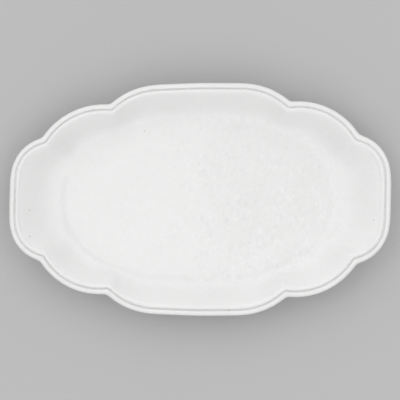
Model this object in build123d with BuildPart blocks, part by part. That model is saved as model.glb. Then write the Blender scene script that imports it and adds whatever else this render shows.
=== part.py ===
from build123d import *
from math import atan2, cos, hypot, radians, sin, sqrt
import os

# Lobed china serving platter, hand-built in clay and glazed white.
#
# A slab of clay is pressed over a mould to give the floor, the wall and the fine ridge
# inside the rim. A round roll of clay is luted to the outside of the wall's top, which
# leaves a narrow groove between the roll and the ridge. A foot ring is luted under the
# floor. A thick white glaze is poured over the face, and a thinner one over the back. The
# foot's resting edge is wiped clean, so bare clay shows there.
#
# Millimetres. +X along the platter, +Y across it, +Z up. The origin is under the middle,
# on the plane that the foot rests on. An inset is a distance in from the edge in plan. A
# depth runs from 0 at the top of the wall to 1 where the wall meets the well's flat floor.

# Overall form, over the glaze
LENGTH = 399.0
WIDTH = 242.0
HEIGHT = 36.0

# Plan of the rim: two end lobes, two long lobes and four corner lobes, all of round arcs
END_SHOULDER_RADIUS = 42.5
END_CROWN_HALF = 24.0
LONG_SHOULDER_RADIUS = 77.5
LONG_CROWN_HALF = 42.0
CORNER_RADIUS = 73.5
CORNER_CENTRE = (103.0, 27.5)

# The maker's hand: the plan leans, widens to +X, and its notches sit a little to -X
LEAN = 0.02
WIDEN = 0.00015
NOTCH_DRIFT = -2.7

# Plan of the well's flat floor, a rounded oval, and where each lobe meets it, in degrees
FLOOR_HALF_LENGTH = 133.0
FLOOR_HALF_WIDTH = 79.0
OVAL_SQUARENESS = 2.5
END_FLOOR_ANGLES = (0.0, 8.0, 14.0, 19.5, 24.0)
CORNER_FLOOR_ANGLES = (24.0, 32.0, 40.0, 48.0, 56.0)
LONG_FLOOR_ANGLES = (56.0, 63.0, 70.0, 78.0, 90.0)

# Clay and glaze. On the slanting wall a coat reaches further upwards than it is thick
FACE_GLAZE = 0.8
BACK_GLAZE = 0.6
WALL_SLANT = 1.2
FLOOR_CLAY = 6.0
WALL_CLAY = 6.8

# Rim section, from the edge inwards: the roll, the side of the wall that it is luted to,
# the groove and the ridge
ROLL_RADIUS = 2.5
ROLL_INSET = FACE_GLAZE + ROLL_RADIUS
ROLL_LEVELS = (-90.0, -67.5, -45.0, -22.5, 0.0, 22.5, 45.0, 67.5, 90.0)
ROLL_BACK_LEVELS = (25.0, 45.0, 62.5, 80.0)
WALL_SIDE_INSET = 5.5
WALL_SIDE_DROP = 4.6
RIDGE_OUTER_INSET = 7.6
RIDGE_INNER_INSET = 8.8
RIDGE_SHOULDER = 0.9
RIDGE_SHOULDER_DROP = 0.5
RIDGE_ABOVE_ROLL = 0.7
RIDGE_ABOVE_WALL = 1.6
WALL_START_INSET = 11.0

# Levels down the wall, and the share of it that is the steep band under the ridge
WALL_DEPTHS = (1.0, 0.8, 0.6, 0.4, 0.2, 0.0)
STEEP_SHARE = 0.3

# Foot ring, of the same kind of oval as the floor
FOOT_HALF_LENGTH = 117.0
FOOT_HALF_WIDTH = 63.0
FOOT_ANGLES = (0.0, 6.0, 16.0, 30.0, 45.0, 60.0, 74.0, 84.0, 90.0)
FOOT_WIDTH = 7.0
FOOT_HEIGHT = 5.0
FOOT_ROUND = 1.6
FOOT_BARE = 1.6

# Heights that follow
FLOOR_TOP = FOOT_HEIGHT + FLOOR_CLAY
RIDGE_TOP = HEIGHT - FACE_GLAZE
WALL_TOP = RIDGE_TOP - RIDGE_ABOVE_WALL
WALL_SIDE_HEIGHT = WALL_TOP - WALL_SIDE_DROP
ROLL_HEIGHT = RIDGE_TOP - RIDGE_ABOVE_ROLL - ROLL_RADIUS
ROLL_GRIP = sqrt(ROLL_RADIUS**2 - (WALL_SIDE_INSET - ROLL_INSET) ** 2)


def meeting_point(centre_a, radius_a, centre_b, radius_b):
    """The outer crossing of two circles, where two lobes meet in a notch."""
    dx, dy = centre_b[0] - centre_a[0], centre_b[1] - centre_a[1]
    gap = hypot(dx, dy)
    along = (radius_a**2 - radius_b**2 + gap**2) / (2 * gap)
    across = sqrt(radius_a**2 - along**2)
    middle = centre_a[0] + along * dx / gap, centre_a[1] + along * dy / gap
    crossings = [
        (middle[0] + side * across * dy / gap, middle[1] - side * across * dx / gap)
        for side in (1, -1)
    ]
    return max(crossings, key=lambda point: hypot(*point))


def arc_points(centre, radius, start, end, shares):
    """Points at the given shares of the way round an arc."""
    first = atan2(start[1] - centre[1], start[0] - centre[0])
    last = atan2(end[1] - centre[1], end[0] - centre[0])
    turns = [first + share * (last - first) for share in shares]
    return [(centre[0] + radius * cos(t), centre[1] + radius * sin(t)) for t in turns]


def rim_quarter(inset):
    """Half an end lobe, a corner lobe and half a long lobe, at an inset from the edge."""
    end_centre = (LENGTH / 2 - END_SHOULDER_RADIUS, END_CROWN_HALF)
    end_radius = END_SHOULDER_RADIUS - inset
    long_centre = (LONG_CROWN_HALF, WIDTH / 2 - LONG_SHOULDER_RADIUS)
    long_radius = LONG_SHOULDER_RADIUS - inset
    corner_radius = CORNER_RADIUS - inset
    end_notch = meeting_point(end_centre, end_radius, CORNER_CENTRE, corner_radius)
    long_notch = meeting_point(long_centre, long_radius, CORNER_CENTRE, corner_radius)
    end_crown = (LENGTH / 2 - inset, END_CROWN_HALF)
    long_crown = (LONG_CROWN_HALF, WIDTH / 2 - inset)
    end_shoulder = arc_points(end_centre, end_radius, end_crown, end_notch, (0.35, 0.7))
    corner = arc_points(CORNER_CENTRE, corner_radius, end_notch, long_notch, (0.25, 0.5, 0.75))
    long_shoulder = arc_points(long_centre, long_radius, long_notch, long_crown, (0.3, 0.65))
    return (
        [(LENGTH / 2 - inset, 0.0), end_crown, *end_shoulder, end_notch],
        [end_notch, *corner, long_notch],
        [long_notch, *long_shoulder, long_crown, (0.0, WIDTH / 2 - inset)],
    )


def oval_point(degrees, half_length=FLOOR_HALF_LENGTH, half_width=FLOOR_HALF_WIDTH):
    """A point of the rounded oval that the floor, and the foot under it, are drawn to."""
    power, angle = 2 / OVAL_SQUARENESS, radians(degrees)
    return half_length * max(cos(angle), 0.0) ** power, half_width * sin(angle) ** power


def between(start, end, share):
    """The point at a share of the way from one point to another."""
    return tuple(a + share * (b - a) for a, b in zip(start, end))


def leaned(point):
    """The same point after the maker's hand has shifted it."""
    x, y = point
    drift = NOTCH_DRIFT * (1 - (2 * x / LENGTH) ** 2)
    return x + LEAN * y + drift, y * (1 + WIDEN * x)


def flipped(points, along_x, along_y):
    """The points mirrored, and turned round so that they still run counterclockwise."""
    mirrored = [(along_x * x, along_y * y) for x, y in points]
    return mirrored[::-1] if along_x * along_y < 0 else mirrored


def lobes(inset, depth):
    """The eight lobes of one level line, each a list of points, counterclockwise from +X."""
    angles = (END_FLOOR_ANGLES, CORNER_FLOOR_ANGLES, LONG_FLOOR_ANGLES)
    end, corner, long = (
        [between(point, oval_point(angle), depth) for point, angle in zip(part, part_angles)]
        for part, part_angles in zip(rim_quarter(inset), angles)
    )
    plan = [
        flipped(end, 1, -1) + end[1:],
        corner,
        long + flipped(long, -1, 1)[1:],
        flipped(corner, -1, 1),
        flipped(end, -1, 1) + flipped(end, -1, -1)[1:],
        flipped(corner, -1, -1),
        flipped(long, -1, -1) + flipped(long, 1, -1)[1:],
        flipped(corner, 1, -1),
    ]
    return [[leaned(point) for point in lobe] for lobe in plan]


def level(height, inset, depth=0.0):
    """The flat slice inside one level line."""
    with BuildSketch(Plane.XY.offset(height)) as slice_sketch:
        with BuildLine():
            for lobe in lobes(inset, depth):
                Spline(*lobe)
        make_face()
    return slice_sketch.sketch


def foot_slice(height, grow):
    """A flat slice inside the foot ring's outer line, grown outwards by an amount."""
    quarter = [
        oval_point(angle, FOOT_HALF_LENGTH + grow, FOOT_HALF_WIDTH + grow) for angle in FOOT_ANGLES
    ]
    half = quarter + [(-x, y) for x, y in quarter[-2::-1]]
    points = half + [(-x, -y) for x, y in half[1:-1]]
    with BuildSketch(Plane.XY.offset(height)) as slice_sketch:
        with BuildLine():
            Spline(*[leaned(point) for point in points], periodic=True)
        make_face()
    return slice_sketch.sketch


def wall_height(depth):
    """Height of the clay's face: a steep band under the ridge, then a curve into the floor."""
    steepest = 2 / (1 + STEEP_SHARE)
    if depth < STEEP_SHARE:
        share = 1 - steepest * depth
    else:
        share = steepest * (1 - depth) ** 2 / (2 * (1 - STEEP_SHARE))
    return FLOOR_TOP + share * (WALL_TOP - FLOOR_TOP)


def wall_slices(under_floor, under_wall):
    """Slices up the wall of a surface that lies this far under the clay's face."""
    return [
        level(
            wall_height(depth) - under_floor - (under_wall - under_floor) * (1 - depth),
            WALL_START_INSET,
            depth,
        )
        for depth in WALL_DEPTHS
    ]


def back_block(coat):
    """The solid over the platter's back, or over a coat on it, filled up to the ridge's foot."""
    with BuildPart() as block:
        slices = wall_slices(FLOOR_CLAY + coat, WALL_CLAY + WALL_SLANT * coat)
        loft(slices)
        edge = level(WALL_SIDE_HEIGHT - coat, WALL_SIDE_INSET)
        loft([slices[-1], edge], ruled=True)
        extrude(edge, ROLL_HEIGHT + ROLL_GRIP + coat - WALL_SIDE_HEIGHT)
    return block.part


def ridge_block(coat):
    """The solid of the ridge above that, or of the ridge with a coat, filled across the well."""
    with BuildPart() as block:
        foot_line = level(ROLL_HEIGHT + ROLL_GRIP, WALL_SIDE_INSET - coat / 2)
        shoulder_line = level(
            RIDGE_TOP - RIDGE_SHOULDER_DROP + coat,
            RIDGE_OUTER_INSET - RIDGE_SHOULDER - coat / 2,
        )
        top_line = level(RIDGE_TOP + coat, RIDGE_OUTER_INSET - coat / 2)
        loft([foot_line, shoulder_line, top_line], ruled=True)
    return block.part


def hollow(coat):
    """The space over the clay's face, or over a coat on it."""
    with BuildPart() as space:
        slices = wall_slices(-coat, -WALL_SLANT * coat)
        loft(slices)
        shoulder_line = level(
            RIDGE_TOP - RIDGE_SHOULDER_DROP + coat,
            RIDGE_INNER_INSET + RIDGE_SHOULDER + coat / 2,
        )
        top_line = level(RIDGE_TOP + coat, RIDGE_INNER_INSET + coat / 2)
        loft([slices[-1], shoulder_line, top_line], ruled=True)
        extrude(top_line, HEIGHT)
    return space.part


def face_side():
    """All that is on the face's side of a surface through the middle of the clay."""
    with BuildPart() as side:
        slices = wall_slices(FLOOR_CLAY / 2, WALL_CLAY / 2)
        loft(slices)
        extrude(slices[-1], WALL_CLAY)
        extrude(level(ROLL_HEIGHT, -WALL_CLAY), HEIGHT)
    return side.part


def roll_block(radius):
    """The roll's round edge and round back as one solid, filled across the well under them."""
    with BuildPart() as block:
        loft(
            [
                level(
                    ROLL_HEIGHT + radius * sin(radians(turn)),
                    ROLL_INSET - radius * cos(radians(turn)),
                )
                for turn in ROLL_LEVELS
            ]
        )
        back_lines = [
            level(
                ROLL_HEIGHT + radius * sin(radians(turn)),
                ROLL_INSET + radius * cos(radians(turn)),
            )
            for turn in ROLL_BACK_LEVELS
        ]
        loft(back_lines, mode=Mode.SUBTRACT)
        extrude(back_lines[-1], radius, mode=Mode.SUBTRACT)
    return block.part


# The slab: floor, wall and ridge in one pressed sheet of clay
with BuildPart() as slab:
    add(back_block(0.0))
    add(ridge_block(0.0))
    add(hollow(0.0), mode=Mode.SUBTRACT)
slab.part.label = "pressed_slab"

# The roll luted round the outside of the wall's top
with BuildPart() as roll:
    add(roll_block(ROLL_RADIUS))
    extrude(level(0.0, WALL_SIDE_INSET), HEIGHT, mode=Mode.SUBTRACT)
roll.part.label = "edge_roll"

# The foot ring luted under the floor
with BuildPart() as foot:
    extrude(foot_slice(0.0, 0.0), FOOT_HEIGHT)
    extrude(foot_slice(0.0, -FOOT_WIDTH), FOOT_HEIGHT, mode=Mode.SUBTRACT)
    fillet(foot.edges().group_by(Axis.Z)[0], FOOT_ROUND)
foot.part.label = "foot_ring"

# The coat poured over the face, from the outermost line of the roll inwards
with BuildPart() as face_glaze:
    add(roll_block(ROLL_RADIUS + FACE_GLAZE))
    add(ridge_block(FACE_GLAZE))
    add(back_block(0.0))
    add(face_side(), mode=Mode.INTERSECT)
    for cut in (hollow(FACE_GLAZE), slab.part, roll.part):
        add(cut, mode=Mode.SUBTRACT)
face_glaze.part.label = "face_glaze"

# The coat poured over the back, down the outside of the foot to its wiped edge
with BuildPart() as back_glaze:
    add(roll_block(ROLL_RADIUS + FACE_GLAZE))
    add(back_block(BACK_GLAZE))
    extrude(foot_slice(FOOT_BARE, BACK_GLAZE), FOOT_HEIGHT - FOOT_BARE)
    extrude(foot_slice(0.0, -FOOT_WIDTH), FOOT_HEIGHT, mode=Mode.SUBTRACT)
    for cut in (face_side(), slab.part, roll.part, foot.part):
        add(cut, mode=Mode.SUBTRACT)
back_glaze.part.label = "back_glaze"

# The same coat inside the foot, which the wiped edge cuts off from the rest
with BuildPart() as base_glaze:
    extrude(foot_slice(FOOT_BARE, -FOOT_WIDTH), FOOT_HEIGHT - FOOT_BARE)
    extrude(
        foot_slice(FOOT_BARE, -FOOT_WIDTH - BACK_GLAZE),
        FOOT_HEIGHT - FOOT_BARE - BACK_GLAZE,
        mode=Mode.SUBTRACT,
    )
base_glaze.part.label = "base_glaze"

os.makedirs("parts", exist_ok=True)
for piece in (slab, roll, foot, face_glaze, back_glaze, base_glaze):
    part = piece.part
    export_step(part, f"parts/{part.label}.step")
    size = part.bounding_box().size
    print(f"{part.label}: {len(part.solids())} solids, {part.volume:.0f} mm3, valid {part.is_valid}")
    print(f"    {size.X:.1f} x {size.Y:.1f} x {size.Z:.1f} mm")
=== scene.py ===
# %% [markdown]
# # A lobed serving platter in white glazed china
#
# The platter is one fired piece, but a potter makes it in layers. A slab of clay is pressed
# over a mould, a roll of clay is luted round its edge and a foot ring under its floor. White
# glaze is then poured over the face and over the back. CAD gives each layer as a solid of
# the right size. Here every layer is modelled again on the same lines with softer corners
# and the small waves of handwork, because a glossy glaze shows the smallest change of slope.

# %% Load the platter's frame
from math import atan2, cos, hypot, pi, radians, sin, sqrt

import bmesh
import bpy
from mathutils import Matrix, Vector, noise


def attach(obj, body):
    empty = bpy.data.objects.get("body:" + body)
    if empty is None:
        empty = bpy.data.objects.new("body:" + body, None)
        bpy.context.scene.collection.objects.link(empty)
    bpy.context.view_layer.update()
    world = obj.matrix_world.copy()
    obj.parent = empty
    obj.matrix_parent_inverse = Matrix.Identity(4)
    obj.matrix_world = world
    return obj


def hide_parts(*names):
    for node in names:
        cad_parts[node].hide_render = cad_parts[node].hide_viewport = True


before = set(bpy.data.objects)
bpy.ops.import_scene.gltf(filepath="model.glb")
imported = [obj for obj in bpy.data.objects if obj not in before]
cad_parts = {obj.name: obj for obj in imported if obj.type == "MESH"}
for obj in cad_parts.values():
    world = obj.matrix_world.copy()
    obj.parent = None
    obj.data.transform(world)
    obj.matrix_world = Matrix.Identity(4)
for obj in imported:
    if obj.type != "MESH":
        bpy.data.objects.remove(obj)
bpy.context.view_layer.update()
MM = 0.001
print("CAD nodes:", sorted(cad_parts))

# %% [markdown]
# ## The plan of the rim
#
# Seen from above, the rim is a ring of eight lobes: one at each end, one along each side and
# four at the corners. Each lobe is an arc, and two arcs meet in a notch. A line drawn at an
# inset from the edge keeps the same arc centres and takes the inset off each radius, so its
# notches stay crisp. That is how the groove and the ridge inside the edge follow the lobes.
#
# One function gives a quarter of such a line, always with the same number of points, and
# the rest is mirrored. Because the numbers match, a point on one line has its partner on
# the next, and the surface between two lines is a plain band of quads. The points crowd
# towards the notches, where the line turns hardest. Lengths here are in millimetres.

# %% Sizes of the rim's plan
LENGTH, WIDTH = 399.0, 242.0
END_RADIUS, END_CROWN, END_STRAIGHT = 42.5, 24.0, 0.3
LONG_RADIUS, LONG_CROWN, LONG_STRAIGHT = 77.5, 42.0, 0.4
CORNER_RADIUS, CORNER_CENTRE = 73.5, (103.0, 27.5)
CROWN_BULGE = 0.8
END_RIBS, CORNER_RIBS, LONG_RIBS = 22, 34, 30
CROWDING = 0.6
RIBS = 4 * (END_RIBS + CORNER_RIBS + LONG_RIBS)
print("ribs round the platter:", RIBS)


# %% Where two arcs meet, and points along an arc
def notch(centre_a, radius_a, centre_b, radius_b):
    """The outer crossing of two circles."""
    dx, dy = centre_b[0] - centre_a[0], centre_b[1] - centre_a[1]
    gap = hypot(dx, dy)
    along = (radius_a**2 - radius_b**2 + gap**2) / (2 * gap)
    across = sqrt(radius_a**2 - along**2)
    x, y = centre_a[0] + along * dx / gap, centre_a[1] + along * dy / gap
    sides = [(x + s * across * dy / gap, y - s * across * dx / gap) for s in (1, -1)]
    return max(sides, key=lambda p: hypot(*p))


def on_arc(centre, radius, start, end, share):
    """The point at a share of the way round an arc."""
    first = atan2(start[1] - centre[1], start[0] - centre[0])
    last = atan2(end[1] - centre[1], end[0] - centre[0])
    turn = first + share * (last - first)
    return centre[0] + radius * cos(turn), centre[1] + radius * sin(turn)


end_lobe = ((LENGTH / 2 - END_RADIUS, END_CROWN), END_RADIUS)
end_notch = notch(*end_lobe, CORNER_CENTRE, CORNER_RADIUS)
print("the end lobe's notch in mm:", [round(c, 1) for c in end_notch])


# %% Shares that crowd towards the notches
def towards_one(share):
    return (1 - CROWDING) * share + CROWDING * sin(pi / 2 * share)


def towards_both(share):
    return (1 - CROWDING) * share + CROWDING * (1 - cos(pi * share)) / 2


END_SHARES = [towards_one(i / END_RIBS) for i in range(END_RIBS)]
CORNER_SHARES = [towards_both(i / CORNER_RIBS) for i in range(CORNER_RIBS)]
LONG_SHARES = [1 - towards_one(1 - i / LONG_RIBS) for i in range(LONG_RIBS + 1)]
print("finest step in a corner lobe:", round(CORNER_SHARES[1], 4))


# %% A quarter of one line round the rim, and the whole line
def rim_quarter(inset):
    """From the middle of the +X end lobe to the middle of the +Y long lobe."""
    end_centre, end_radius = (LENGTH / 2 - END_RADIUS, END_CROWN), END_RADIUS - inset
    long_centre, long_radius = (LONG_CROWN, WIDTH / 2 - LONG_RADIUS), LONG_RADIUS - inset
    corner_radius = CORNER_RADIUS - inset
    end_notch = notch(end_centre, end_radius, CORNER_CENTRE, corner_radius)
    long_notch = notch(long_centre, long_radius, CORNER_CENTRE, corner_radius)
    end_crown, long_crown = (LENGTH / 2 - inset, END_CROWN), (LONG_CROWN, WIDTH / 2 - inset)
    points = []
    for share in END_SHARES:
        bend = (share - END_STRAIGHT) / (1 - END_STRAIGHT)
        flat = (end_crown[0], END_CROWN * share / END_STRAIGHT)
        points.append(on_arc(end_centre, end_radius, end_crown, end_notch, bend) if bend > 0 else flat)
    for share in CORNER_SHARES:
        points.append(on_arc(CORNER_CENTRE, corner_radius, end_notch, long_notch, share))
    for share in LONG_SHARES:
        bend = share / (1 - LONG_STRAIGHT)
        off = (1 - share) / LONG_STRAIGHT
        flat = (LONG_CROWN * off, long_crown[1] + CROWN_BULGE * (1 - off**2) ** 2)
        points.append(on_arc(long_centre, long_radius, long_notch, long_crown, bend) if bend < 1 else flat)
    return points


def all_round(quarter):
    """The whole line, counterclockwise from +X."""
    half = quarter + [(-x, y) for x, y in quarter[-2::-1]]
    return half + [(-x, -y) for x, y in half[1:-1]]


rim_edge = all_round(rim_quarter(0.0))
print("points in a line:", len(rim_edge), "of", RIBS)

# %% [markdown]
# ## The ovals in the middle, and the maker's hand
#
# The flat floor of the well is a rounded oval, a superellipse, and so is the foot ring under
# it. A rib of the platter runs from a point of the rim to a point of the oval. Between them
# the plan fades from lobes to oval, so the creases under the notches die out on the floor.
#
# A hand-built rim is never quite true. The whole plan leans a little, widens to one end and
# rises and falls by a fraction of a millimetre. The waves come from Perlin noise, which is
# smooth and is the same on every run. The three directions read it at places far apart, so
# their waves differ.

# %% Points of the ovals, one for each rib
FLOOR_HALF_LENGTH, FLOOR_HALF_WIDTH = 133.0, 79.0
FOOT_HALF_LENGTH, FOOT_HALF_WIDTH = 117.0, 63.0
OVAL_SQUARENESS = 2.5
END_TURN, LONG_TURN = 24.0, 56.0

rib_turns = [END_TURN * share for share in END_SHARES]
rib_turns += [END_TURN + (LONG_TURN - END_TURN) * share for share in CORNER_SHARES]
rib_turns += [LONG_TURN + (90 - LONG_TURN) * share for share in LONG_SHARES]


def oval(half_length, half_width):
    """A rounded oval, with a point for each rib."""
    power = 2 / OVAL_SQUARENESS
    quarter = []
    for turn in rib_turns:
        across, up = max(cos(radians(turn)), 0.0), sin(radians(turn))
        quarter.append((half_length * across**power, half_width * up**power))
    return all_round(quarter)


floor_edge = oval(FLOOR_HALF_LENGTH, FLOOR_HALF_WIDTH)
print("floor:", 2 * floor_edge[0][0], "by", round(2 * floor_edge[RIBS // 4][1], 1), "mm")

# %% The maker's hand
LEAN, WIDEN, DRIFT = 0.02, 0.00015, -2.7
RIM_WAVE, PLAN_WAVE, HAND_SPAN, RIM_SAG = 0.35, 0.35, 70, 0.6
PLACE_ALONG, PLACE_ACROSS, PLACE_UP = Vector((0, 0, 3)), Vector((9, 4, 4)), Vector((2, 8, 8))


def by_hand(x, y, z):
    """Moves a point as the maker's hand did, and turns millimetres into metres."""
    out = min(1.0, hypot(x / LENGTH, y / WIDTH) * 2)
    drift = DRIFT * (1 - (2 * x / LENGTH) ** 2)
    px, py = x + LEAN * y + drift, y * (1 + WIDEN * x)
    spot = Vector((px / HAND_SPAN, py / HAND_SPAN, 0))
    px += PLAN_WAVE * out * noise.noise(spot + PLACE_ALONG)
    py += PLAN_WAVE * out * noise.noise(spot + PLACE_ACROSS)
    pz = z + RIM_WAVE * out**4 * (noise.noise(spot + PLACE_UP) - RIM_SAG)
    return Vector((px * MM, py * MM, pz * MM))


print("a point of the rim, by hand:", by_hand(LENGTH / 2, 0, 32))


# %% A line at any inset, with its notches softened
def softened(points, rounds):
    """Evens out a closed line, most of all where it turns hardest."""
    for _ in range(rounds):
        before = points
        points = [
            (
                (before[i - 1][0] + 2 * before[i][0] + before[(i + 1) % RIBS][0]) / 4,
                (before[i - 1][1] + 2 * before[i][1] + before[(i + 1) % RIBS][1]) / 4,
            )
            for i in range(RIBS)
        ]
    return points


def level(inset, height, soft=2):
    """A line at an inset from the edge and at a height."""
    return [by_hand(x, y, height) for x, y in softened(all_round(rim_quarter(inset)), soft)]


def floor_line(share, height):
    """A line on the floor, at a share of the way from its middle to its edge."""
    return [by_hand(share * x, share * y, height) for x, y in floor_edge]


def foot_line(grow, height):
    """A line round the foot ring, at a distance out from its outer side."""
    ring = oval(FOOT_HALF_LENGTH + grow, FOOT_HALF_WIDTH + grow)
    return [by_hand(x, y, height) for x, y in ring]


print("foot line starts at", foot_line(0, 0)[0])

# %% [markdown]
# ## From lines to a closed shell
#
# Every layer of the platter is a stack of such lines. A circle of as many vertices as there
# are ribs is moved onto the first line, and its edges are extruded once for each line after
# it. Two end caps close a disc-like layer, and a bridge from last to first closes a ring.
# This is how one would model it by hand, with extrude and scale, and it gives even quads
# that follow the form, which a boolean or a sculpt doesn't.

# %% Extrude a ring of vertices to the next line
def move_to(line, ring):
    """Moves a ring's vertices onto a line's points, one to one."""
    for vertex, point in zip(ring, line):
        vertex.co = point


def loop_edges(bm, ring):
    """The edges that join a ring's vertices one to the next."""
    return [bm.edges.get((ring[i - 1], ring[i])) for i in range(len(ring))]


def next_ring(bm, ring, line):
    """Extrudes the ring and moves the new one to a line."""
    made = bmesh.ops.extrude_edge_only(bm, edges=loop_edges(bm, ring))["geom"]
    new = {v for v in made if isinstance(v, bmesh.types.BMVert)}
    partners = []
    for vertex in ring:
        neighbours = (edge.other_vert(vertex) for edge in vertex.link_edges)
        partners.append(next(other for other in neighbours if other in new))
    move_to(line, partners)
    return partners


# %% Build a layer from its lines
def layer(name, lines, closed_ring=False, thinness_and_shade=()):
    """A closed mesh through the lines, as a new object.

    Shares say, line by line, how much the glaze greys: thin glaze and painted shade. The material reads
    them.
    """
    bm = bmesh.new()
    # This layer holds the grey of thin glaze on the roll and of painted shade in the groove and on the
    # roll.
    thin = bm.verts.layers.float.new("glaze_thinness_and_shade")
    bmesh.ops.create_circle(bm, segments=len(lines[0]), radius=1.0)
    bm.verts.ensure_lookup_table()
    first = ring = list(bm.verts)
    move_to(lines[0], ring)
    for step, line in enumerate(lines[1:], start=1):
        ring = next_ring(bm, ring, line)
        for vertex in ring:
            vertex[thin] = thinness_and_shade[step] if step < len(thinness_and_shade) else 0.0
    if closed_ring:
        bmesh.ops.bridge_loops(bm, edges=loop_edges(bm, first) + loop_edges(bm, ring))
    else:
        bmesh.ops.contextual_create(bm, geom=loop_edges(bm, first))
        bmesh.ops.contextual_create(bm, geom=loop_edges(bm, ring))
    bmesh.ops.recalc_face_normals(bm, faces=bm.faces)
    for face in bm.faces:
        face.smooth = True
    open_edges = sum(1 for edge in bm.edges if not edge.is_manifold)
    mesh = bpy.data.meshes.new(name)
    bm.to_mesh(mesh)
    bm.free()
    piece = bpy.data.objects.new(name, mesh)
    bpy.context.scene.collection.objects.link(piece)
    triangles = sum(len(p.vertices) - 2 for p in mesh.polygons)
    print(f"{name}: {len(lines)} lines, {triangles} triangles, {open_edges} open edges")
    return piece


# %% [markdown]
# ## The section of the platter
#
# A section cut from the edge to the middle shows, one after another, the round roll, a
# narrow groove, a fine rounded ridge, the wall and the flat floor. Each surface is written
# down once as pairs of inset and height, and the layers share it: the top of the clay is
# also the underside of the glaze. The wall is steepest a fifth of the way in from its top and
# eases into the floor on a long curve, with no corner that the light would catch. On the way
# down its line is evened out more and more, so the creases under the notches open and fade.

# %% Heights of the floor and wall
FOOT_HEIGHT, FLOOR_CLAY, WALL_CLAY = 5.0, 6.0, 6.8
FACE_GLAZE, BACK_GLAZE, SLANT = 0.8, 0.6, 1.2
FLOOR_TOP = FOOT_HEIGHT + FLOOR_CLAY
WALL_TOP = 33.6
EASE, BELLY = 2.8, 1.5
WALL_INSET, WALL_SOFT = 11.0, 9
CREASE_FADE = 45
WALL_STEPS = 30


def wall_height(depth):
    """Height of the clay's face at a depth, from 0 at the wall's top to 1 at the floor's edge."""
    share = (1 - depth) ** EASE * (1 + BELLY * depth)
    return FLOOR_TOP + share * (WALL_TOP - FLOOR_TOP)


def wall_lines(above_floor, above_wall, steps):
    """Lines from the floor's edge up to the wall's top, at distances above the clay's face."""
    rim = softened(all_round(rim_quarter(WALL_INSET)), WALL_SOFT)
    lines = []
    for step in range(steps + 1):
        depth = step / steps
        height = wall_height(depth) + above_floor + (above_wall - above_floor) * (1 - depth)
        line = []
        for (rx, ry), (fx, fy) in zip(rim, floor_edge):
            line.append(by_hand(rx + depth * (fx - rx), ry + depth * (fy - ry), height))
        lines.append(line)
        rim = softened(rim, round(CREASE_FADE * (2 * step + 1) / steps**2))
    return lines[::-1]


print("glazed floor at", FLOOR_TOP + FACE_GLAZE, "mm, wall's top at", WALL_TOP, "mm")

# %% The roll, the groove and the ridge
ROLL_INSET, ROLL_HEIGHT, ROLL_RADIUS = 3.3, 32.0, 2.5
EDGE_SOFT, GROOVE_SOFT, RIDGE_SOFT = 7, 3, 9


def roll_lines(radius, start, end, steps):
    """Lines round the roll, from one angle of its section to another."""
    lines = []
    for step in range(steps + 1):
        turn = radians(start + (end - start) * step / steps)
        inset, height = ROLL_INSET - radius * cos(turn), ROLL_HEIGHT + radius * sin(turn)
        soft = round(GROOVE_SOFT + (EDGE_SOFT - GROOVE_SOFT) * max(0.0, cos(turn)))
        lines.append(level(inset, height, soft=soft))
    return lines


# Pairs of inset and height, from the wall's top over the ridge and down into the groove.
GLAZED_RIDGE = (
    (10.4, 35.0), (9.8, 35.5), (9.2, 35.82), (8.6, 35.98), (8.05, 35.98), (7.6, 35.8),
    (7.25, 35.4), (6.95, 34.85), (6.7, 34.25), (6.45, 33.68), (6.2, 33.24), (5.95, 33.06),
    (5.7, 33.2), (5.45, 33.62), (5.15, 34.2), (4.92, 34.66),
)
CLAY_RIDGE = (
    (10.0, 34.2), (9.2, 34.9), (8.4, 35.15), (7.9, 34.9), (7.5, 34.2), (7.15, 33.4),
    (6.8, 32.6), (6.3, 32.15), (5.6, 32.05),
)
GROOVE_BOTTOM = min(height for inset, height in GLAZED_RIDGE)
ROLL_CREST = ROLL_HEIGHT + ROLL_RADIUS + FACE_GLAZE
print("groove is", round(ROLL_CREST - GROOVE_BOTTOM, 2), "mm below the roll's crest")


def ridge_lines(section):
    """Lines along the groove and the ridge. The further in, the rounder their notches."""
    lines = []
    for inset, height in section:
        inwards = max(0.0, inset - WALL_INSET / 2) / (WALL_INSET / 2)
        lines.append(level(inset, height, soft=round(GROOVE_SOFT + RIDGE_SOFT * inwards)))
    return lines


# %% [markdown]
# ## The glaze on the face
#
# The face glaze is a coat under a millimetre thick. It is modelled as a real coat with two
# sides: out over the floor, up the wall, over ridge and groove and round the roll to its
# outermost line, then back along the clay underneath. The floor sags and swells by tenths
# of a millimetre over a hand's breadth, as a slab does in drying, and most of all where it
# turns up into the wall. Nobody would measure that, but it bends the reflections of the
# lights, which is how one sees that the floor is glossy.
#
# On the roll, out from its crest, the glaze runs thin, and it is painted grey there, partly for that
# and partly as painted shade. The groove is painted grey as painted shade. Each line carries its
# grey as a number, which ends up as a vertex attribute for the material to read.

# %% The floor's slow waves
FLOOR_WAVE, EDGE_WAVE = 0.18, 0.5
# Each wave has a length in millimetres, a slice of the noise to read, and a share.
SLOW_WAVES = ((55, 0.5, 1.0), (24, 7.5, 0.35), (13, 4.5, 0.2))
EDGE_DENTS = ((38, 2.5, 1.0), (17, 9.5, 0.35))
FLOOR_STEPS, FLOOR_START, FLOOR_SPAN = 36, 0.02, 0.95
FLOOR_SHARES = [FLOOR_START + FLOOR_SPAN * step / FLOOR_STEPS for step in range(FLOOR_STEPS + 1)]


def waves_at(x, y, waves):
    """The height of a sum of waves at a place."""
    return sum(share * noise.noise(Vector((x / span, y / span, cut))) for span, cut, share in waves)


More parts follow.
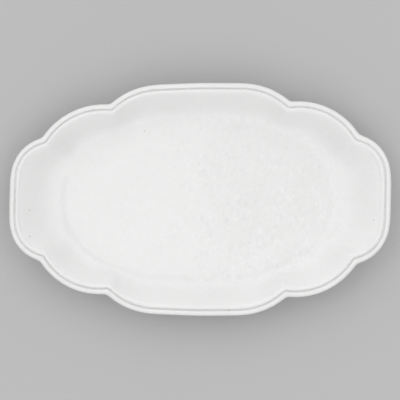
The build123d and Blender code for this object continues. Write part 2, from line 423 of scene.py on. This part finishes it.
def waved(line, edge=0.0):
    """Raises and lowers a line's points by slow waves, and by dents as far as it is an edge."""
    moved = []
    for point in line:
        x, y = point.x / MM, point.y / MM
        rise = FLOOR_WAVE * waves_at(x, y, SLOW_WAVES) + EDGE_WAVE * edge * waves_at(x, y, EDGE_DENTS)
        moved.append(point + Vector((0, 0, rise * MM)))
    return moved


print("a swell of the floor:", round(FLOOR_WAVE * waves_at(30, 10, SLOW_WAVES), 3), "mm")


# %% The upper side of the face glaze, and where it is painted grey
DENT_GATHERS, DENT_FADES = 6, 1.5
GROOVE_PAINTED_SHADE, GROOVE_SHADE_REACH, ROLL_THINNESS_AND_SHADE = 0.35, 1.8, 0.4
ROLL_START, ROLL_STEPS = 118, 14

top = [waved(floor_line(share, FLOOR_TOP + FACE_GLAZE), share**DENT_GATHERS) for share in FLOOR_SHARES]
wall = wall_lines(FACE_GLAZE, SLANT * FACE_GLAZE, WALL_STEPS)
top += [waved(line, (1 - step / WALL_STEPS) ** DENT_FADES) for step, line in enumerate(wall)]
thinness_and_shade = [0.0] * len(top)
top += ridge_lines(GLAZED_RIDGE)
# In the groove the grey is painted shade, strongest at the groove's bottom.
for inset, height in GLAZED_RIDGE:
    thinness_and_shade.append(GROOVE_PAINTED_SHADE * max(0.0, 1 - (height - GROOVE_BOTTOM) / GROOVE_SHADE_REACH))
top += roll_lines(ROLL_RADIUS + FACE_GLAZE, ROLL_START, 0, ROLL_STEPS)
# On the roll's outer side the grey is partly thin glaze and partly painted shade, most where it faces out.
for step in range(ROLL_STEPS + 1):
    thinness_and_shade.append(ROLL_THINNESS_AND_SHADE * max(0.0, cos(radians(ROLL_START - ROLL_START * step / ROLL_STEPS))))
# The roll's grey, the strongest, is partly thin glaze and partly painted shade.
print("the glaze is thinnest on the roll:", round(max(thinness_and_shade), 2))

# %% Pour the face glaze
CLAY_STEPS, CLAY_SKIP = 8, 9
CLAY_ROLL_START, CLAY_ROLL_STEPS = 150, 6

under = roll_lines(ROLL_RADIUS, 0, CLAY_ROLL_START, CLAY_ROLL_STEPS)
under += ridge_lines(CLAY_RIDGE[::-1])
under += wall_lines(0.0, 0.0, CLAY_STEPS)[::-1]
under += [floor_line(share, FLOOR_TOP) for share in FLOOR_SHARES[::-CLAY_SKIP]]
face_glaze = layer("glaze_on_face", top + under, thinness_and_shade=thinness_and_shade)
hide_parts("face_glaze")
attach(face_glaze, "root")

# %% [markdown]
# ## The clay inside
#
# The slab and the roll are wholly hidden by glaze, but they are real pieces, so they are made
# too, on the same lines. The roll is a ring: its section starts and ends at the side of the
# slab that it is luted to.

# %% Press the slab
SLAB_SIDE, SLAB_LIP = 5.5, 29.0

slab_top = [floor_line(share, FLOOR_TOP) for share in FLOOR_SHARES[::CLAY_SKIP]]
slab_top += wall_lines(0.0, 0.0, CLAY_STEPS) + ridge_lines(CLAY_RIDGE)
slab_back = [level(SLAB_SIDE, SLAB_LIP)]
slab_back += wall_lines(-FLOOR_CLAY, -WALL_CLAY, CLAY_STEPS)[::-1]
slab_back += [floor_line(share, FOOT_HEIGHT) for share in FLOOR_SHARES[::-CLAY_SKIP]]
slab = layer("pressed_clay_slab", slab_top + slab_back)
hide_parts("pressed_slab")
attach(slab, "root")

# %% Lute on the roll
JOINT_LOW, JOINT_HIGH, ROUND_STEPS = 29.5, 31.4, 16

roll_section = roll_lines(ROLL_RADIUS, CLAY_ROLL_START, -90, ROUND_STEPS)
roll_section += [level(SLAB_SIDE, JOINT_LOW), level(SLAB_SIDE, JOINT_HIGH)]
roll = layer("luted_clay_roll", roll_section, closed_ring=True)
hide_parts("edge_roll")
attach(roll, "root")

# %% [markdown]
# ## The back and the foot
#
# The platter is turned over to glaze its back, so the coat there is thinner. It starts where
# the face's coat ends, at the outermost line of the roll, and follows the underside of the
# slab to the foot ring. Glaze gathers in the corner there and runs down the side of the foot.
# It must not touch the kiln shelf, so the potter wipes the resting edge clean: the glaze ends
# in a slightly wavy line, with bare clay below it. The wipe also cuts the back's coat in two,
# one part outside the foot and one inside.

# %% The wiped line
WIPED, WAVER, WAVER_SPAN = 1.9, 0.35, 9
FOOT_WIDTH = 7.0


def wiped_line(grow, height):
    """A line round the foot whose height wavers as a sponge leaves it."""
    line = foot_line(grow, height)
    return [p + Vector((0, 0, WAVER * MM * noise.noise(p / MM / WAVER_SPAN))) for p in line]


print("the foot is bare up to about", WIPED, "mm")


# %% The section of the glaze at the foot and under the roll
# Pairs of distance from the foot and height: the gathered corner, then the wiped edge.
GATHERED = ((1.7, 4.28), (1.1, 3.9), (0.75, 3.3))
WIPED_EDGE = ((0.62, WIPED + 0.5), (0.5, WIPED + 0.1), (0.25, WIPED), (0.05, WIPED))
# Pairs of inset and height, from the roll to the wall's back.
UNDER_ROLL = ((4.4, 28.66), (5.5, 28.42), (7.4, 27.65), (9.4, 26.85))
BACK_FACE, SLIP = FOOT_HEIGHT - BACK_GLAZE, 0.05
UNDER_CLAY = FOOT_HEIGHT - 0.02
# How far from the foot the coat runs level, outside it and inside it.
OUTER_RUN, INNER_RUN = (10.0, 5.0, 2.6), (6.0, 2.8)
INNER_CORNER = ((SLIP, 3.6), (SLIP, UNDER_CLAY), (8.0, UNDER_CLAY))
print("the glaze hangs down to", round(BACK_FACE, 2), "mm over the table")

# %% Pour the back glaze, outside the foot
back = roll_lines(ROLL_RADIUS + FACE_GLAZE, 0, -90, 9)
back += [level(inset, height, soft=GROOVE_SOFT) for inset, height in UNDER_ROLL]
back += wall_lines(-FLOOR_CLAY - BACK_GLAZE, -WALL_CLAY - SLANT * BACK_GLAZE, 2 * CLAY_STEPS)[::-1]
back += [foot_line(grow, BACK_FACE) for grow in OUTER_RUN]
back += [foot_line(grow, height) for grow, height in GATHERED]
back += [wiped_line(grow, height) for grow, height in WIPED_EDGE]
inside = [foot_line(grow, height) for grow, height in INNER_CORNER]
inside += wall_lines(-FLOOR_CLAY, -WALL_CLAY, CLAY_STEPS)
inside += [level(SLAB_SIDE + 0.1, SLAB_LIP), level(SLAB_SIDE, JOINT_LOW)]
inside += roll_lines(ROLL_RADIUS, -90, 0, CLAY_ROLL_STEPS)
back_glaze = layer("glaze_on_back", back + inside, closed_ring=True)
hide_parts("back_glaze")
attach(back_glaze, "root")

# %% Pour the base glaze, inside the foot
BASE_SHARES = (FLOOR_START, 0.12, 0.25, 0.38, 0.5, 0.59)

base = [waved(floor_line(share, BACK_FACE)) for share in BASE_SHARES]
base += [foot_line(-FOOT_WIDTH - away, BACK_FACE) for away in INNER_RUN]
base += [foot_line(-FOOT_WIDTH - away, height) for away, height in GATHERED]
for away, height in (WIPED_EDGE[0], (0.3, WIPED), WIPED_EDGE[-1]):
    base.append(wiped_line(-FOOT_WIDTH - away, height))
base += [foot_line(-FOOT_WIDTH - SLIP, UNDER_CLAY), floor_line(0.5, UNDER_CLAY)]
base += [floor_line(FLOOR_START, UNDER_CLAY)]
base_glaze = layer("glaze_inside_foot", base)
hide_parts("base_glaze")
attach(base_glaze, "root")

# %% Lute on the foot ring
# Pairs of distance and height down the ring's outer side. Its inner side mirrors them.
FOOT_SIDE = (
    (0.0, FOOT_HEIGHT), (0.0, 3.4), (0.0, 1.8), (-0.3, 1.0), (-0.8, 0.42), (-1.5, 0.1),
    (-2.4, 0.0),
)

foot_lines = [foot_line(grow, height) for grow, height in FOOT_SIDE]
foot_lines += [foot_line(-FOOT_WIDTH - grow, height) for grow, height in FOOT_SIDE[::-1]]
foot_ring = layer("luted_foot_ring", foot_lines, closed_ring=True)
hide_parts("foot_ring")
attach(foot_ring, "root")

# %% [markdown]
# ## White glaze as a material
#
# A tin-white glaze is opaque, slightly milky and very smooth, but it was poured by hand over
# rough clay. Up close it shows several things. Faint ripples, like orange peel, shake the
# edge of every reflection. Its white drifts a little, where the coat is thicker or thinner.
# It greys on the roll, out from its crest, partly where the clay shines through thin glaze and
# partly as painted shade, and the groove is painted grey as painted shade. Where it pooled on
# the floor it dried in small hollows and beads, more of them towards +X, and these are painted
# darker as painted shade and paler as a painted highlight. And here and there a bubble has
# burst in the kiln and left a dark pinhole.
#
# All of it is procedural. The patterns read Object coordinates, which are metres in the
# platter's frame, so they keep their size and run unbroken from piece to piece. Each of the
# next cells makes one of these things, and the last one puts them together.

# %% A new material, and wearing it
def new_material(name):
    """An empty node material with its shader and output."""
    material = bpy.data.materials.new(name)
    material.use_nodes = True
    tree = material.node_tree
    tree.nodes.clear()
    output = tree.nodes.new("ShaderNodeOutputMaterial")
    shader = tree.nodes.new("ShaderNodeBsdfPrincipled")
    tree.links.new(shader.outputs["BSDF"], output.inputs["Surface"])
    return material, tree, shader


def wear(piece, material):
    """Gives a piece its material."""
    piece.data.materials.clear()
    piece.data.materials.append(material)
    print(piece.name, "wears", material.name)


# %% A node with its settings and inputs
def add_node(tree, kind, settings=(), inputs=()):
    """A node with its settings, and its inputs set to values or linked to other nodes."""
    node = tree.nodes.new(kind)
    for key, value in dict(settings).items():
        setattr(node, key, value)
    for key, value in dict(inputs).items():
        if isinstance(value, bpy.types.NodeSocket):
            tree.links.new(value, node.inputs[key])
        else:
            node.inputs[key].default_value = value
    return node


# %% Patterns, ranges and sums
def noise_of(tree, place, size, detail=2.0, roughness=0.5, distortion=0.0):
    """A noise pattern whose features are about `size` metres across."""
    inputs = {"Vector": place, "Scale": 1 / size, "Detail": detail}
    inputs.update({"Roughness": roughness, "Distortion": distortion})
    return add_node(tree, "ShaderNodeTexNoise", inputs=inputs).outputs["Fac"]


def stretch(tree, value, low, high, to_low=0.0, to_high=1.0):
    """Maps a value smoothly from one range to another."""
    settings = {"interpolation_type": "SMOOTHSTEP"}
    inputs = {"Value": value, "From Min": low, "From Max": high, "To Min": to_low, "To Max": to_high}
    return add_node(tree, "ShaderNodeMapRange", settings, inputs).outputs["Result"]


def maths(tree, operation, first, second):
    """One step of arithmetic."""
    node = add_node(tree, "ShaderNodeMath", {"operation": operation}, {0: first, 1: second})
    return node.outputs["Value"]


# %% One colour into another
def blend_colours(tree, share, first, second):
    """One colour turning into another."""
    node = add_node(tree, "ShaderNodeMix", {"data_type": "RGBA"})
    for key, kind, value in (("Factor", "VALUE", share), ("A", "RGBA", first), ("B", "RGBA", second)):
        socket = next(s for s in node.inputs if s.name == key and s.type == kind)
        if isinstance(value, bpy.types.NodeSocket):
            tree.links.new(value, socket)
        else:
            socket.default_value = value
    return next(s for s in node.outputs if s.type == "RGBA")


# %% Pinholes
def pinholes(tree, place, spacing, radius, share, dimensions="2D"):
    """1 inside a sparse scatter of round dots, 0 elsewhere. 2D suits level faces, 3D any face."""
    inputs = {"Vector": place, "Scale": 1 / spacing, "Randomness": 0.9}
    cells = add_node(tree, "ShaderNodeTexVoronoi", {"voronoi_dimensions": dimensions}, inputs)
    near = stretch(tree, cells.outputs["Distance"], radius / spacing * 0.6, radius / spacing, 1.0, 0.0)
    lot = add_node(tree, "ShaderNodeSeparateColor", inputs={"Color": cells.outputs["Color"]})
    drawn = maths(tree, "LESS_THAN", lot.outputs["Red"], share)
    return maths(tree, "MULTIPLY", near, drawn)


# %% The drifting white
MILK, MILK_THIN = (0.865, 0.865, 0.862, 1), (0.84, 0.84, 0.836, 1)
BACK_WHITE, BACK_THIN = (0.8, 0.795, 0.785, 1), (0.72, 0.71, 0.695, 1)
# The grey for thin glaze on the roll, and for painted shade in the groove and on the roll.
GREY_OF_THIN_GLAZE_AND_SHADE = (0.66, 0.655, 0.64, 1)


def drifting_white(tree, cloud, mottle, white, thin_white):
    """White that turns to a thinner white in clouds, and greys where the attribute says: thin glaze and
    painted shade on the roll, painted shade in the groove.
    """
    wide = stretch(tree, cloud, 0.35, 0.75, 0.0, 0.6)
    narrow = stretch(tree, mottle, 0.45, 0.7, 0.0, 0.4)
    body = blend_colours(tree, maths(tree, "ADD", wide, narrow), white, thin_white)
    # The attribute blends in painted shade in the groove, and thin glaze with painted shade on the roll.
    thinness_and_shade_attribute = tree.nodes.new("ShaderNodeAttribute")
    thinness_and_shade_attribute.attribute_name = "glaze_thinness_and_shade"
    thinned_and_shaded = maths(tree, "MULTIPLY", thinness_and_shade_attribute.outputs["Fac"], stretch(tree, mottle, 0.3, 0.65, 0.45, 1.0))
    return blend_colours(tree, thinned_and_shaded, body, GREY_OF_THIN_GLAZE_AND_SHADE)


# The second colour is the grey of thin glaze and painted shade.
print("the face's white:", MILK[:3], "and where it is thin:", GREY_OF_THIN_GLAZE_AND_SHADE[:3])

# %% Hollows and beads where the glaze pooled, with painted shade and highlight
RUN_SIZE, RUN_STRETCH = 0.0036, (1.0, 0.6, 1.0)
POURED_FROM, POURED_TO = -0.07, 0.02
POOL_FADES, POOL_ENDS = 0.0125, 0.0155
# The hollows get a painted shade, and the beads a painted highlight.
HOLLOW_PAINTED_SHADE, BEAD_PAINTED_HIGHLIGHT = (0.806, 0.806, 0.803, 1), (0.9, 0.9, 0.9, 1)


def runs_in_pool(tree, place, cloud):
    """The hollows and the beads, for the bump and for painted shade and highlight. They fade up the wall
    and towards -X.
    """
    drawn_out = add_node(tree, "ShaderNodeMapping", inputs={"Vector": place, "Scale": RUN_STRETCH})
    runs = noise_of(tree, drawn_out.outputs["Vector"], RUN_SIZE, 2.0, 0.55, 0.8)
    split = add_node(tree, "ShaderNodeSeparateXYZ", inputs={"Vector": place}).outputs
    along = stretch(tree, split["X"], POURED_FROM, POURED_TO, 0.3, 1.0)
    poured = maths(tree, "MULTIPLY", along, stretch(tree, cloud, 0.3, 0.6, 0.4, 1.0))
    poured = maths(tree, "MULTIPLY", poured, stretch(tree, split["Z"], POOL_FADES, POOL_ENDS, 1.0, 0.25))
    hollow = maths(tree, "MULTIPLY", stretch(tree, runs, 0.55, 0.72), poured)
    bead = maths(tree, "MULTIPLY", stretch(tree, runs, 0.28, 0.45, 1.0, 0.0), poured)
    return hollow, bead


print("hollows and beads are about", RUN_SIZE / MM, "mm apart")

# %% Pits and specks
PIT = (0.035, 0.028, 0.024, 1)
PIT_SPACING, PIT_RADIUS, PIT_DARK = 0.03, 0.0005, 0.8
SPECK_SPACING, SPECK_RADIUS, SPECK_DARK, SPECK_MORE = 0.014, 0.0004, 0.3, 1.6


def pits_and_specks(tree, place, share):
    """A few dark pinholes, and rather more faint specks that lie deeper in the glaze."""
    pits = pinholes(tree, place, PIT_SPACING, PIT_RADIUS, share)
    specks = pinholes(tree, place, SPECK_SPACING, SPECK_RADIUS, share * SPECK_MORE)
    dark_pits = maths(tree, "MULTIPLY", pits, PIT_DARK)
    return maths(tree, "MAXIMUM", dark_pits, maths(tree, "MULTIPLY", specks, SPECK_DARK))


print("a pinhole is", 2 * PIT_RADIUS / MM, "mm across")

# %% The ripples
PEEL, PIMPLE, SWELL = 0.0048, 0.0016, 0.016
PIMPLE_SHARE, SWELL_SHARE, PIT_SINKS, RUN_SINKS = 0.16, 0.8, 2.5, 0.4


def rippled(tree, place, dark, hollow, bead):
    """The height of the glaze's skin: peel, pimples and swells, with pits and runs sunk in."""
    relief = maths(tree, "MULTIPLY", noise_of(tree, place, PIMPLE, 1.0, 0.5), PIMPLE_SHARE)
    relief = maths(tree, "ADD", noise_of(tree, place, PEEL, 2.0, 0.5, 0.6), relief)
    swell = maths(tree, "MULTIPLY", noise_of(tree, place, SWELL, 1.0, 0.5), SWELL_SHARE)
    relief = maths(tree, "ADD", relief, swell)
    relief = maths(tree, "SUBTRACT", relief, maths(tree, "MULTIPLY", dark, PIT_SINKS))
    runs = maths(tree, "MULTIPLY", maths(tree, "SUBTRACT", hollow, bead), RUN_SINKS)
    return maths(tree, "SUBTRACT", relief, runs)


print("the ripples are", PEEL / MM, "mm apart, the swells", SWELL / MM)

# %% The white glaze
CLOUD, MOTTLE = 0.035, 0.006
GLOSS = (0.04, 0.09)


def white_glaze(name, white, thin_white, pit_share, ripple):
    """A milky white gloss glaze. Ripple is the height of its relief in metres."""
    material, tree, shader = new_material(name)
    place = tree.nodes.new("ShaderNodeTexCoord").outputs["Object"]
    cloud = noise_of(tree, place, CLOUD, 3.0, 0.55, 0.3)
    mottle = noise_of(tree, place, MOTTLE, 3.0, 0.6, 0.4)
    hollow, bead = runs_in_pool(tree, place, cloud)
    dark = pits_and_specks(tree, place, pit_share)
    body = drifting_white(tree, cloud, mottle, white, thin_white)
    # Painted shade in the hollows and a painted highlight on the beads.
    body = blend_colours(tree, hollow, body, HOLLOW_PAINTED_SHADE)
    body = blend_colours(tree, bead, body, BEAD_PAINTED_HIGHLIGHT)
    tree.links.new(blend_colours(tree, dark, body, PIT), shader.inputs["Base Color"])
    skin = {"Height": rippled(tree, place, dark, hollow, bead), "Strength": 1.0, "Distance": ripple}
    bump = add_node(tree, "ShaderNodeBump", inputs=skin)
    tree.links.new(bump.outputs["Normal"], shader.inputs["Normal"])
    tree.links.new(stretch(tree, mottle, 0.3, 0.75, *GLOSS), shader.inputs["Roughness"])
    shader.inputs["IOR"].default_value = 1.5
    shader.inputs["Coat Weight"].default_value = 0.25
    shader.inputs["Coat Roughness"].default_value = 0.03
    shader.inputs["Subsurface Weight"].default_value = 0.0
    return material


FACE_PITS, BACK_PITS = 0.06, 0.15
FACE_RIPPLE, BACK_RIPPLE = 0.0002, 0.00014
face_white = white_glaze("milky_white_face_glaze", MILK, MILK_THIN, FACE_PITS, FACE_RIPPLE)
back_white = white_glaze("thin_white_back_glaze", BACK_WHITE, BACK_THIN, BACK_PITS, BACK_RIPPLE)
wear(face_glaze, face_white)
wear(back_glaze, back_white)
wear(base_glaze, back_white)

# %% [markdown]
# ## Bare clay as a material
#
# The only clay that shows is the wiped edge of the foot. It is a dark fired clay with fine
# grog in it, dull and a little rough, and the sponge has left a faint milky film of glaze
# on it in smears.

# %% The dark clay
CLAY, CLAY_LIGHT, GROG = (0.075, 0.056, 0.044, 1), (0.14, 0.11, 0.088, 1), (0.3, 0.26, 0.22, 1)
GRAIN_SPACING, GRAIN_RADIUS, GRAIN_SHARE = 0.0016, 0.0005, 0.35
FIRE_PATCH, SMEAR, GRIT, GRIT_HEIGHT = 0.012, 0.007, 0.0007, 0.0002


def dark_clay(name, film):
    """Fired dark clay with grog, and a share of glaze wiped thinly over it."""
    material, tree, shader = new_material(name)
    place = tree.nodes.new("ShaderNodeTexCoord").outputs["Object"]
    patch = noise_of(tree, place, FIRE_PATCH, 4.0, 0.6, 0.2)
    body = blend_colours(tree, stretch(tree, patch, 0.35, 0.7), CLAY, CLAY_LIGHT)
    grains = pinholes(tree, place, GRAIN_SPACING, GRAIN_RADIUS, GRAIN_SHARE, "3D")
    body = blend_colours(tree, maths(tree, "MULTIPLY", grains, 0.6), body, GROG)
    smear = noise_of(tree, place, SMEAR, 5.0, 0.65, 1.2)
    wiped = maths(tree, "MULTIPLY", stretch(tree, smear, 0.5, 0.75), film)
    tree.links.new(blend_colours(tree, wiped, body, BACK_THIN), shader.inputs["Base Color"])
    grit = maths(tree, "MULTIPLY", noise_of(tree, place, GRIT, 4.0, 0.7), 0.6)
    relief = maths(tree, "ADD", grit, maths(tree, "MULTIPLY", grains, 0.5))
    skin = {"Height": relief, "Strength": 1.0, "Distance": GRIT_HEIGHT}
    bump = add_node(tree, "ShaderNodeBump", inputs=skin)
    tree.links.new(bump.outputs["Normal"], shader.inputs["Normal"])
    tree.links.new(stretch(tree, patch, 0.3, 0.7, 0.88, 0.72), shader.inputs["Roughness"])
    return material


FOOT_FILM = 0.35
bare_clay = dark_clay("bare_dark_clay", FOOT_FILM)
hidden_clay = dark_clay("glazed_over_dark_clay", 0.0)
wear(foot_ring, bare_clay)
wear(slab, hidden_clay)
wear(roll, hidden_clay)

# %% [markdown]
# ## A table, soft light and a camera overhead
#
# White ware is hard to light. If light comes evenly from all sides, the form goes flat, and
# if it is harsh, the glaze burns out. Here half of the light is a very soft room, stronger
# from some sides than from others, so each wall of the well has its own shade. The rest is
# a ceiling of soft boxes with a gap to the right of the middle. The glossy floor mirrors the
# ceiling, so the gap shows in it as a faint darker patch. Thin tubes along the gap's sides
# sharpen its edge, which the ripples in the glaze then break up. Where the floor turns up
# into the end walls it mirrors what hangs further out, so two key boxes add light there and
# give each end a paler band.
#
# The camera looks straight down through a long lens, so all of the rim shows as one plan.

# %% The table
TABLE_GREY, TABLE_PALE = (0.5, 0.5, 0.505, 1), (0.515, 0.515, 0.52015, 1)
TABLE_RADIUS, TABLE_DRIFT = 4.0, 0.3
bm = bmesh.new()
bmesh.ops.create_circle(bm, cap_ends=True, segments=96, radius=TABLE_RADIUS)
table_mesh = bpy.data.meshes.new("table")
bm.to_mesh(table_mesh)
bm.free()
table = bpy.data.objects.new("table", table_mesh)
bpy.context.scene.collection.objects.link(table)
table_paint, tree, shader = new_material("pale_matt_table")
on_table = tree.nodes.new("ShaderNodeTexCoord").outputs["Object"]
drift = noise_of(tree, on_table, TABLE_DRIFT, 2.0)
tree.links.new(blend_colours(tree, drift, TABLE_GREY, TABLE_PALE), shader.inputs["Base Color"])
shader.inputs["Roughness"].default_value = 0.7
wear(table, table_paint)


# %% The light of the room
ROOM_LIGHT = 0.03
GLOW_RISE, GLOW_SPREAD = 25.0, 50.0
# A compass angle in degrees from +X, and how strongly the room glows there.
GLOWS = {0: 0.14, 45: 0.56, 90: 0.68, 135: 0.72, 180: 0.28, 225: 0.25, 270: 0.82, 315: 0.33}


def room_world():
    """A faintly lit white world with broad glows low round the horizon."""
    world = bpy.data.worlds.new("studio_room")
    world.use_nodes = True
    tree = world.node_tree
    way = tree.nodes.new("ShaderNodeTexCoord").outputs["Generated"]
    strength = ROOM_LIGHT
    flat, rise = cos(radians(GLOW_RISE)), sin(radians(GLOW_RISE))
    for turn, glow in GLOWS.items():
        heart = (flat * cos(radians(turn)), flat * sin(radians(turn)), rise)
        dot = add_node(tree, "ShaderNodeVectorMath", {"operation": "DOT_PRODUCT"}, {0: way, 1: heart})
        near = stretch(tree, dot.outputs["Value"], cos(radians(GLOW_SPREAD)), 1.0, 0.0, glow)
        strength = maths(tree, "ADD", strength, near)
    sky = tree.nodes["Background"]
    sky.inputs["Color"].default_value = (1.0, 1.0, 1.0, 1)
    tree.links.new(strength, sky.inputs["Strength"])
    return world


bpy.context.scene.world = room_world()
print("glows round the room at", sorted(GLOWS), "degrees")

# %% The ceiling of soft boxes, with a gap
CEILING, REACH, FALL_OFF = 2.6, 3.6, 115.0
GAP_LEFT, GAP_RIGHT, GAP_FRONT, GAP_BACK = 0.012, 0.6, -0.13, 0.11
TUBE, TUBE_POWER, TUBE_PAST = 0.02, 2.0, 0.3


def soft_box(name, left, right, front, back, watts):
    """A panel of the ceiling, with its power in watts for each square metre."""
    light = bpy.data.lights.new(name, "AREA")
    light.shape = "RECTANGLE"
    light.size, light.size_y = right - left, back - front
    light.energy = watts * light.size * light.size_y
    light.spread = radians(FALL_OFF)
    lamp = bpy.data.objects.new(name, light)
    lamp.location = ((left + right) / 2, (front + back) / 2, CEILING)
    bpy.context.scene.collection.objects.link(lamp)
    print(name, "gives", round(light.energy, 1), "W")


# %% Hang the boxes
# For each box its left, right, front and back edges in metres, and its power.
BOXES = {
    "soft_box_left": (-REACH, GAP_LEFT, -REACH, REACH, 1.13),
    "soft_box_behind_gap": (GAP_LEFT, GAP_RIGHT, GAP_BACK, REACH, 0.2),
    "soft_box_before_gap": (GAP_LEFT, GAP_RIGHT, -REACH, GAP_FRONT, 1.35),
    "soft_box_right": (GAP_RIGHT, REACH, -REACH, REACH, 1.66),
    "key_box_left": (-2.7, -0.95, -0.1, 0.9, 2.3),
    "key_box_right": (0.75, 2.6, -0.3, 0.4, 0.55),
    "tube_left_of_gap": (GAP_LEFT - TUBE, GAP_LEFT, GAP_FRONT, GAP_BACK + TUBE_PAST, TUBE_POWER),
    "tube_behind_gap": (GAP_LEFT, GAP_RIGHT, GAP_BACK, GAP_BACK + TUBE, TUBE_POWER),
    "tube_before_gap": (GAP_LEFT, GAP_RIGHT, GAP_FRONT - TUBE, GAP_FRONT, TUBE_POWER),
}
for name, (left, right, front, back_edge, watts) in BOXES.items():
    soft_box(name, left, right, front, back_edge, watts)

# %% The camera
LENS_HEIGHT, SHARP_HEIGHT = 2.0, 0.033
FRAME_WIDTH, AIM = 0.4179, (-0.0003, -0.0007)
camera_data = bpy.data.cameras.new("overhead_camera")
camera_data.sensor_width = 36.0
camera_data.lens = camera_data.sensor_width * (LENS_HEIGHT - SHARP_HEIGHT) / FRAME_WIDTH
camera = bpy.data.objects.new("overhead_camera", camera_data)
camera.location = (*AIM, LENS_HEIGHT)
bpy.context.scene.collection.objects.link(camera)
bpy.context.scene.camera = camera
bpy.context.scene.view_settings.view_transform = "Standard"
bpy.context.scene.view_settings.look = "None"
print("lens:", round(camera_data.lens), "mm")
